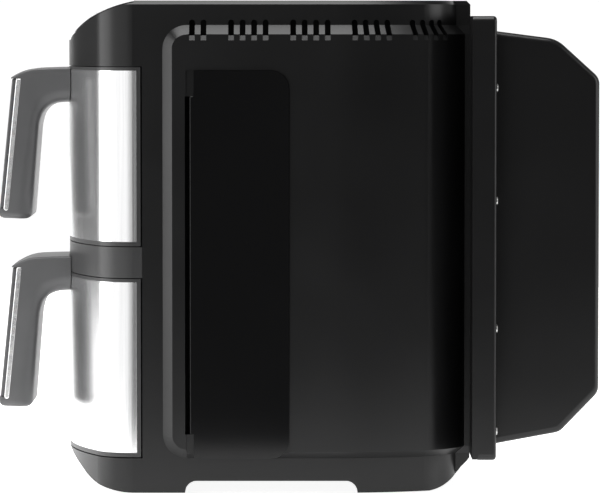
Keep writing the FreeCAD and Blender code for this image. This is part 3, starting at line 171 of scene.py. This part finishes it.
def noise(tree, scale, detail=2.0, stretch=None):
    """Noise in object space; stretch squeezes it along each axis."""
    where = tree.nodes.new("ShaderNodeTexCoord")
    grain = tree.nodes.new("ShaderNodeTexNoise")
    grain.inputs["Scale"].default_value = scale
    grain.inputs["Detail"].default_value = detail
    if stretch:
        mapping = tree.nodes.new("ShaderNodeMapping")
        mapping.inputs["Scale"].default_value = stretch
        link(tree, where, "Object", mapping, "Vector")
        link(tree, mapping, "Vector", grain, "Vector")
    else:
        link(tree, where, "Object", grain, "Vector")
    return grain


def ranged(tree, source, output, low, high, target, socket):
    """Sends a 0-1 value to a socket as low to high."""
    span = tree.nodes.new("ShaderNodeMapRange")
    span.inputs["To Min"].default_value = low
    span.inputs["To Max"].default_value = high
    link(tree, source, output, span, "Value")
    link(tree, span, "Result", target, socket)


def tinted(tree, shader, grain, dark, light):
    """Varies the base colour between two near tones with a noise."""
    ramp = tree.nodes.new("ShaderNodeValToRGB")
    ramp.color_ramp.elements[0].color = (*dark, 1.0)
    ramp.color_ramp.elements[1].color = (*light, 1.0)
    ramp.color_ramp.elements[0].position = 0.3
    ramp.color_ramp.elements[1].position = 0.7
    link(tree, grain, "Fac", ramp, "Fac")
    link(tree, ramp, "Color", shader, "Base Color")


def bumped(tree, shader, grain, strength, distance):
    bump = tree.nodes.new("ShaderNodeBump")
    bump.inputs["Strength"].default_value = strength
    bump.inputs["Distance"].default_value = distance
    link(tree, grain, "Fac", bump, "Height")
    link(tree, bump, "Normal", shader, "Normal")


def plain_material(name, colour, roughness):
    material, tree, shader = new_material(name)
    tinted(tree, shader, noise(tree, 3.0), [c * 0.99 for c in colour], colour)
    shader.inputs["Roughness"].default_value = roughness
    return material


def moulded(name, colour, roughness, grain_size=0.0005, strength=0.25, specular=0.5):
    """Moulded plastic: a fine spark texture, faint tone drift and uneven gloss."""
    material, tree, shader = new_material(name)
    fine = noise(tree, 1 / grain_size, 3.0)
    broad = noise(tree, 14.0, 4.0)
    tinted(tree, shader, broad, [c * 0.86 for c in colour], [c * 1.12 for c in colour])
    ranged(tree, broad, "Fac", roughness - 0.04, roughness + 0.05, shader, "Roughness")
    bumped(tree, shader, fine, strength, 0.00006)
    shader.inputs["Specular IOR Level"].default_value = specular
    return material


def metal(name, colour, roughness, stretch=None, anisotropy=0.0, strength=0.1):
    """Bare metal; stretch draws the brush marks out along one axis."""
    material, tree, shader = new_material(name)
    shader.inputs["Metallic"].default_value = 1.0
    shader.inputs["Anisotropic"].default_value = anisotropy
    marks = noise(tree, 1.0, 6.0, stretch or (300.0, 300.0, 300.0))
    tinted(tree, shader, marks, [c * 0.88 for c in colour], colour)
    ranged(tree, marks, "Fac", roughness * 0.75, roughness * 1.3, shader, "Roughness")
    bumped(tree, shader, marks, strength, 0.00004)
    return material


def glossy(name, colour, roughness, specular=0.5):
    """Polished plastic with the faint haze of handling."""
    material, tree, shader = new_material(name)
    haze = noise(tree, 9.0, 5.0)
    tinted(tree, shader, haze, [c * 0.9 for c in colour], [c * 1.1 for c in colour])
    ranged(tree, haze, "Fac", roughness * 0.7, roughness * 1.5, shader, "Roughness")
    shader.inputs["Specular IOR Level"].default_value = specular
    return material


def speckled(name, colour, roughness):
    """Non-stick coating: satin black with fine pale specks."""
    material, tree, shader = new_material(name)
    cells = tree.nodes.new("ShaderNodeTexVoronoi")
    cells.inputs["Scale"].default_value = 420.0
    where = tree.nodes.new("ShaderNodeTexCoord")
    link(tree, where, "Object", cells, "Vector")
    ramp = tree.nodes.new("ShaderNodeValToRGB")
    ramp.color_ramp.elements[0].color = (*[c * 2.6 for c in colour], 1.0)
    ramp.color_ramp.elements[1].color = (*colour, 1.0)
    ramp.color_ramp.elements[0].position = 0.06
    ramp.color_ramp.elements[1].position = 0.14
    link(tree, cells, "Distance", ramp, "Fac")
    link(tree, ramp, "Color", shader, "Base Color")
    ranged(tree, noise(tree, 30.0), "Fac", roughness - 0.05, roughness + 0.07, shader, "Roughness")
    bumped(tree, shader, noise(tree, 900.0), 0.15, 0.00005)
    return material


def board(name, colour):
    """A circuit board: solder mask with copper tracks under it."""
    material, tree, shader = new_material(name)
    tracks = tree.nodes.new("ShaderNodeTexBrick")
    tracks.inputs["Scale"].default_value = 90.0
    tracks.inputs["Color1"].default_value = (*colour, 1.0)
    tracks.inputs["Color2"].default_value = (*[c * 0.7 for c in colour], 1.0)
    tracks.inputs["Mortar"].default_value = (*[min(c * 2.2, 1.0) for c in colour], 1.0)
    where = tree.nodes.new("ShaderNodeTexCoord")
    link(tree, where, "Object", tracks, "Vector")
    link(tree, tracks, "Color", shader, "Base Color")
    shader.inputs["Roughness"].default_value = 0.35
    return material


def make_materials():
    """One material for each of the record's slots."""
    along_z = (900.0, 900.0, 9.0)
    return {
        "casing_plastic": moulded("casing_plastic", (0.0045, 0.0045, 0.0047), 0.31, specular=0.36),
        "front_plastic": moulded("front_plastic", (0.03, 0.03, 0.0305), 0.36, 0.0008, 0.12, 0.45),
        "dark_plastic": moulded("dark_plastic", (0.02, 0.02, 0.02), 0.5),
        "handle_plastic": moulded("handle_plastic", (0.085, 0.085, 0.087), 0.4, 0.0007, 0.12, 0.45),
        "door_gloss": glossy("door_gloss", (0.0025, 0.0025, 0.0027), 0.1, 0.3),
        "touch_glass": glossy("touch_glass", (0.02, 0.02, 0.022), 0.1),
        "brushed_steel": metal("brushed_steel", (0.84, 0.84, 0.845), 0.2, along_z, 0.5, 0.05),
        "chrome": metal("chrome", (0.95, 0.95, 0.95), 0.22, None, 0.0, 0.02),
        "steel_parts": metal("steel_parts", (0.55, 0.55, 0.54), 0.3),
        "sheet_metal": metal("sheet_metal", (0.6, 0.6, 0.61), 0.36),
        "cavity_metal": metal("cavity_metal", (0.42, 0.42, 0.42), 0.42),
        "element_sheath": metal("element_sheath", (0.2, 0.19, 0.18), 0.45),
        "motor_steel": metal("motor_steel", (0.35, 0.35, 0.36), 0.4, (60.0, 4000.0, 60.0), 0.0, 0.5),
        "aluminium_parts": metal("aluminium_parts", (0.7, 0.7, 0.71), 0.28),
        "nonstick": speckled("nonstick", (0.02, 0.02, 0.021), 0.38),
        "silicone": moulded("silicone", (0.03, 0.03, 0.03), 0.6),
        "rubber": moulded("rubber", (0.015, 0.015, 0.015), 0.7),
        "circuit_board": board("circuit_board", (0.02, 0.12, 0.05)),
    }


def dress_frame(materials):
    """Gives every CAD node its slot's material, and the pieces in soft_edges a small radius along their
    sharp edges.
    """
    soft_edges = {
        "base_tray": 0.9, "left_side_panel": 0.8, "right_side_panel": 0.8, "top_cover": 0.8,
        "rear_cover": 1.0, "side_door": 0.5, "middle_band": 0.5, "lower_drawer_front": 0.4,
        "upper_drawer_front": 0.4, "control_glass": 0.3}
    slots = {entry["node"]: entry["material_slot"] for entry in frame["record"]["subparts"]}
    for name, thing in frame["nodes"].items():
        thing.data.materials.clear()
        thing.data.materials.append(materials[slots[name]])
        if name in soft_edges:
            bevel = thing.modifiers.new("soft_edges", "BEVEL")
            bevel.width = soft_edges[name] * MM
            bevel.segments = 3
            bevel.limit_method = "ANGLE"
            bevel.angle_limit = math.radians(32)
            bevel.harden_normals = True


# ---- mesh helpers ----

def finished(mesh_data, name, body, material, smooth=True):
    """Turns a bmesh into a piece that rides on a body."""
    mesh = bpy.data.meshes.new(name)
    bmesh.ops.recalc_face_normals(mesh_data, faces=mesh_data.faces)
    mesh_data.to_mesh(mesh)
    mesh_data.free()
    piece = bpy.data.objects.new(name, mesh)
    bpy.context.scene.collection.objects.link(piece)
    piece.data.materials.append(material)
    if smooth:
        for face in mesh.polygons:
            face.use_smooth = True
    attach(piece, body)
    return piece


def rounded(piece, width, segments=4, angle=35):
    bevel = piece.modifiers.new("rounding", "BEVEL")
    bevel.width = width
    bevel.segments = segments
    bevel.limit_method = "ANGLE"
    bevel.angle_limit = math.radians(angle)
    bevel.harden_normals = True
    return piece


def arc(centre, radius, start, end, count):
    """Points (y, z) along an arc, angles in degrees."""
    points = []
    for step in range(count + 1):
        angle = math.radians(start + (end - start) * step / count)
        points.append((centre[0] + radius * math.cos(angle), centre[1] + radius * math.sin(angle)))
    return points


def smooth_run(points, count):
    """A curve through given points, sampled evenly between each pair."""
    run = []
    last = len(points) - 1
    for i in range(last):
        before, here = points[max(i - 1, 0)], points[i]
        there, after = points[i + 1], points[min(i + 2, last)]
        for step in range(count):
            t = step / count
            run.append(tuple(
                0.5 * (2 * here[k] + (there[k] - before[k]) * t
                       + (2 * before[k] - 5 * here[k] + 4 * there[k] - after[k]) * t * t
                       + (3 * here[k] - before[k] - 3 * there[k] + after[k]) * t ** 3) for k in (0, 1)))
    run.append(points[-1])
    return run


def across(outline, half, shift=0.0):
    """A solid from a side outline (y, z), between two levels of X."""
    made = bmesh.new()
    sides = [[made.verts.new((x + shift, y, z)) for y, z in outline] for x in (-half, half)]
    made.faces.new(sides[0])
    made.faces.new(list(reversed(sides[1])))
    count = len(outline)
    for i in range(count):
        following = (i + 1) % count
        made.faces.new((sides[0][i], sides[1][i], sides[1][following], sides[0][following]))
    return made


# ---- grips ----

def bar_y(top, z):
    """The front line of the hanging bar: its Y at a height."""
    drop = (top - z) / MM
    reach = BROW_REACH + BAR_ADVANCE * (drop - BROW_DROP) / BAR_FALL
    return -FRONT_TIP - reach * MM


def ring_of(front, palm, inset):
    """One section of the grip from its front to its palm side: nearly square ahead, round behind."""
    along = palm - front
    depth = along.length - 2 * inset
    along = along.normalized()
    half = GRIP_HALF - 0.0002 - inset
    ahead = max(min(FRONT_ROUND, depth / 3) - inset, 0.0004)
    behind = min(PALM_ROUND - inset, depth - ahead - 0.0005)
    corners = [
        (-half + ahead, ahead, ahead, 180, 270), (half - ahead, ahead, ahead, 270, 360),
        (half - behind, depth - behind, behind, 0, 90),
        (-half + behind, depth - behind, behind, 90, 180)]
    ring = []
    for across_x, deep, radius, start, end in corners:
        for step in range(RING_STEPS + 1):
            angle = math.radians(start + (end - start) * step / RING_STEPS)
            spot = front + along * (inset + deep + radius * math.sin(angle))
            ring.append(Vector((across_x + radius * math.cos(angle), spot.y, spot.z)))
    return ring


def grip_rings(top):
    """Sections from the root down the bar to the rounded sole."""
    def point(reach, drop):
        return Vector((0.0, -FRONT_TIP - reach * MM, top - drop * MM))

    crown = smooth_run([(-6, 0), (0.6, 0), (15, 0.3), (28.2, 1.1), (37.2, 3.7), (45.0, 7.9)], 4)
    under = smooth_run([(-6, 27.8), (0.6, 27.8), (8.6, 28.6), (15.6, 31.6), (20.6, 37.4), (23.1, 46)], 4)
    pairs = list(zip(crown, under))
    for share in (0.06, 0.15, 0.3, 0.5, 0.7, 0.88, 1.0):
        pairs.append(((45.2 + 10.6 * share, 8 + 107.2 * share), (23.3 + 5.5 * share, 47 + 69.2 * share)))
    rings = [ring_of(point(*ahead), point(*behind), 0.0) for ahead, behind in pairs]
    ahead, behind = pairs[-1]
    for step in range(1, 7):
        turn = math.radians(15 * step)
        sink = SOLE_ROUND * math.sin(turn)
        rings.append(ring_of(point(ahead[0], ahead[1] + sink), point(behind[0], behind[1] + sink),
                             SOLE_ROUND * MM * (1 - math.cos(turn))))
    return rings


def lofted(rings):
    """A closed skin over a run of rings with equal counts."""
    made = bmesh.new()
    rows = [[made.verts.new(spot) for spot in ring] for ring in rings]
    count = len(rows[0])
    for near, far in zip(rows, rows[1:]):
        for i in range(count):
            following = (i + 1) % count
            made.faces.new((near[i], near[following], far[following], far[i]))
    made.faces.new(rows[0])
    made.faces.new(list(reversed(rows[-1])))
    return made


def make_grip(level, materials):
    """The grip in one moulding with rounded edges; a seat along its front takes the trim and the cap."""
    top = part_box(level + "_handle")[1].z
    body = level + "_drawer"
    material = materials["handle_plastic"]
    grip = finished(lofted(grip_rings(top)), level + "_grip", body, material)
    cut_low, cut_high = top - STRIP_END - SEAT_SLACK, top - STRIP_TOP + SEAT_SLACK
    depth = CAP_THICK + TRIM_THICK
    slot = finished(across([
        (bar_y(top, cut_high) - 0.01, cut_high), (bar_y(top, cut_low) - 0.01, cut_low),
        (bar_y(top, cut_low) + depth, cut_low), (bar_y(top, cut_high) + depth, cut_high)],
        GRIP_HALF + 0.01), level + "_seat", body, material)
    curve = finished(front_block(0.0005, top), level + "_curve", body, material)
    for number, cutter in enumerate((slot, curve)):
        seat = grip.modifiers.new("seat_%d" % number, "BOOLEAN")
        seat.operation = "DIFFERENCE"
        seat.solver = "EXACT"
        seat.object = cutter
    apply_modifiers(grip)
    for cutter in (slot, curve):
        bpy.data.objects.remove(cutter)
    smooth_by_angle(grip, 38)
    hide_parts(level + "_handle")

    trim = finished(across(strip_outline(top, CAP_THICK, depth, 0.0022), GRIP_HALF + 0.0001),
                    level + "_trim", body, materials["chrome"])
    rounded(trim, 0.0007, 3, 40)
    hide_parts(level + "_handle_trim")
    cap = finished(across(strip_outline(top, 0.0012, CAP_THICK - 0.0001, 0.0), GRIP_HALF - 0.0009),
                   level + "_cap", body, material)
    rounded(cap, 0.0011, 3, 40)
    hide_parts(level + "_handle_cap")


def strip_outline(top, near, far, round_end):
    """A strip behind the grip's front line, from one depth to another, with a rounded lower end."""
    high, low = top - STRIP_TOP, top - STRIP_END
    if not round_end:
        return [(bar_y(top, high) + near, high), (bar_y(top, low) + near, low),
                (bar_y(top, low) + far, low), (bar_y(top, high) + far, high)]
    middle = (near + far) / 2
    end = arc((bar_y(top, low) + middle, low + 0.0002), (far - near) / 2, 180, 360, 8)
    return [(bar_y(top, high) + near, high)] + end + [(bar_y(top, high) + far, high)]


def front_block(gap, top):
    """What lies behind the bowed front, grown by a gap, at a grip's height."""
    radius = FRONT_CURVE + gap
    centre = FRONT_CURVE - FRONT_TIP
    run = []
    for step in range(25):
        x = -0.06 + 0.005 * step
        run.append((x, centre - math.sqrt(radius * radius - x * x)))
    run += [(0.06, -0.12), (-0.06, -0.12)]
    made = bmesh.new()
    levels = [[made.verts.new((x, y, z)) for x, y in run] for z in (top - 0.14, top + 0.02)]
    made.faces.new(levels[0])
    made.faces.new(list(reversed(levels[1])))
    count = len(run)
    for i in range(count):
        following = (i + 1) % count
        made.faces.new((levels[0][i], levels[1][i], levels[1][following], levels[0][following]))
    return made


def apply_modifiers(piece):
    depsgraph = bpy.context.evaluated_depsgraph_get()
    done = bpy.data.meshes.new_from_object(piece.evaluated_get(depsgraph))
    piece.modifiers.clear()
    piece.data = done


def smooth_by_angle(piece, degrees):
    """Smooth shading with hard edges where faces meet at more than an angle."""
    mesh = piece.data
    made = bmesh.new()
    made.from_mesh(mesh)
    limit = math.radians(degrees)
    for face in made.faces:
        face.smooth = True
    for edge in made.edges:
        edge.smooth = len(edge.link_faces) == 2 and edge.calc_face_angle(0.0) < limit
    made.to_mesh(mesh)
    made.free()


# ---- control panel marks: generic touch symbols and digits ----

def make_marks(materials):
    """Printed marks on the touch glass: a row of seven keys, and three digits for each drawer."""
    low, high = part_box("control_glass")
    ink = plain_material("panel_ink", (0.55, 0.56, 0.58), 0.5)
    level_z = high.z - math.sqrt(GLASS_RADIUS ** 2 - GLASS_CREST ** 2)

    def seat(x, run):
        """A point on the glass: x across, run from the bottom (0) to the top (1)."""
        y = low.y + (high.y - low.y) * run
        z = level_z + math.sqrt(max(GLASS_RADIUS ** 2 - (high.y + GLASS_CREST - y) ** 2, 0.0))
        return Vector((x, y, z + MARK_LIFT))

    made = bmesh.new()

    def ring(x, run, outer, inner, count=28):
        circle = []
        for step in range(count):
            angle = 2 * math.pi * step / count
            pair = []
            for reach in (outer, inner):
                rise = reach * math.sin(angle) / (high.y - low.y)
                pair.append(made.verts.new(seat(x + reach * math.cos(angle), run + rise)))
            circle.append(pair)
        for step in range(count):
            here, there = circle[step], circle[(step + 1) % count]
            made.faces.new((here[0], there[0], there[1], here[1]))

    def bar(x_low, x_high, run_low, run_high):
        corners = [seat(x_low, run_low), seat(x_high, run_low),
                   seat(x_high, run_high), seat(x_low, run_high)]
        made.faces.new([made.verts.new(corner) for corner in corners])

    for column in range(-3, 4):
        x = column * KEY_PITCH
        ring(x, KEY_RUN, KEY_OUTER, KEY_INNER)
        bar(x - 0.0022, x + 0.0022, 0.345, 0.375)
        if column % 2:
            bar(x - 0.0004, x + 0.0004, 0.32, 0.40)
    for x in (-0.03, 0.03):
        for offset in (-DIGIT_STEP, 0.0, DIGIT_STEP):
            segments(bar, x + offset, DIGIT_RUN, DIGIT_HALF, DIGIT_TALL)
    finished(made, "panel_marks", "housing", ink, smooth=False)


def segments(bar, x, run, half, tall):
    """One seven-segment figure eight."""
    for level in (-1, 0, 1):
        middle = run + level * tall
        bar(x - half, x + half, middle - SEGMENT_TALL, middle + SEGMENT_TALL)
    for side in (-1, 1):
        left, right = x + side * half - SEGMENT_THIN, x + side * half + SEGMENT_THIN
        bar(left, right, run - tall + SEGMENT_GAP, run - SEGMENT_GAP)
        bar(left, right, run + SEGMENT_GAP, run + tall - SEGMENT_GAP)


# ---- screws ----

def make_screws(materials):
    """Pan-head screws with a round recess on the back cover's band."""
    low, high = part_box("rear_cover_screws")
    turns = [2 * math.pi * k / 24 for k in range(24)]
    for side, x in (("left", low.x + SCREW_RADIUS), ("right", high.x - SCREW_RADIUS)):
        for number, z in enumerate(SCREW_HEIGHTS):
            made = bmesh.new()
            rings = []
            for share, lift in SCREW_PROFILE:
                reach = SCREW_RADIUS * share
                rings.append([made.verts.new((
                    x + reach * math.cos(turn), low.y + lift, z + reach * math.sin(turn)))
                    for turn in turns])
            for inner, outer in zip(rings, rings[1:]):
                for k in range(24):
                    made.faces.new((inner[k], inner[(k + 1) % 24], outer[(k + 1) % 24], outer[k]))
            made.faces.new(rings[0])
            recess = bmesh.ops.extrude_face_region(made, geom=[made.faces.new(rings[-1])])
            for vertex in (v for v in recess["geom"] if isinstance(v, bmesh.types.BMVert)):
                vertex.co.y -= RECESS_DEPTH
            screw = finished(made, "screw_%s_%d" % (side, number), "housing",
                             materials["steel_parts"], smooth=False)
            smooth_by_angle(screw, 30)
            if side == "left" and number == 0:
                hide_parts("rear_cover_screws")


make_camera()
make_lights()
make_floor()
materials = make_materials()
dress_frame(materials)
for level in LEVELS:
    make_grip(level, materials)
make_marks(materials)
make_screws(materials)
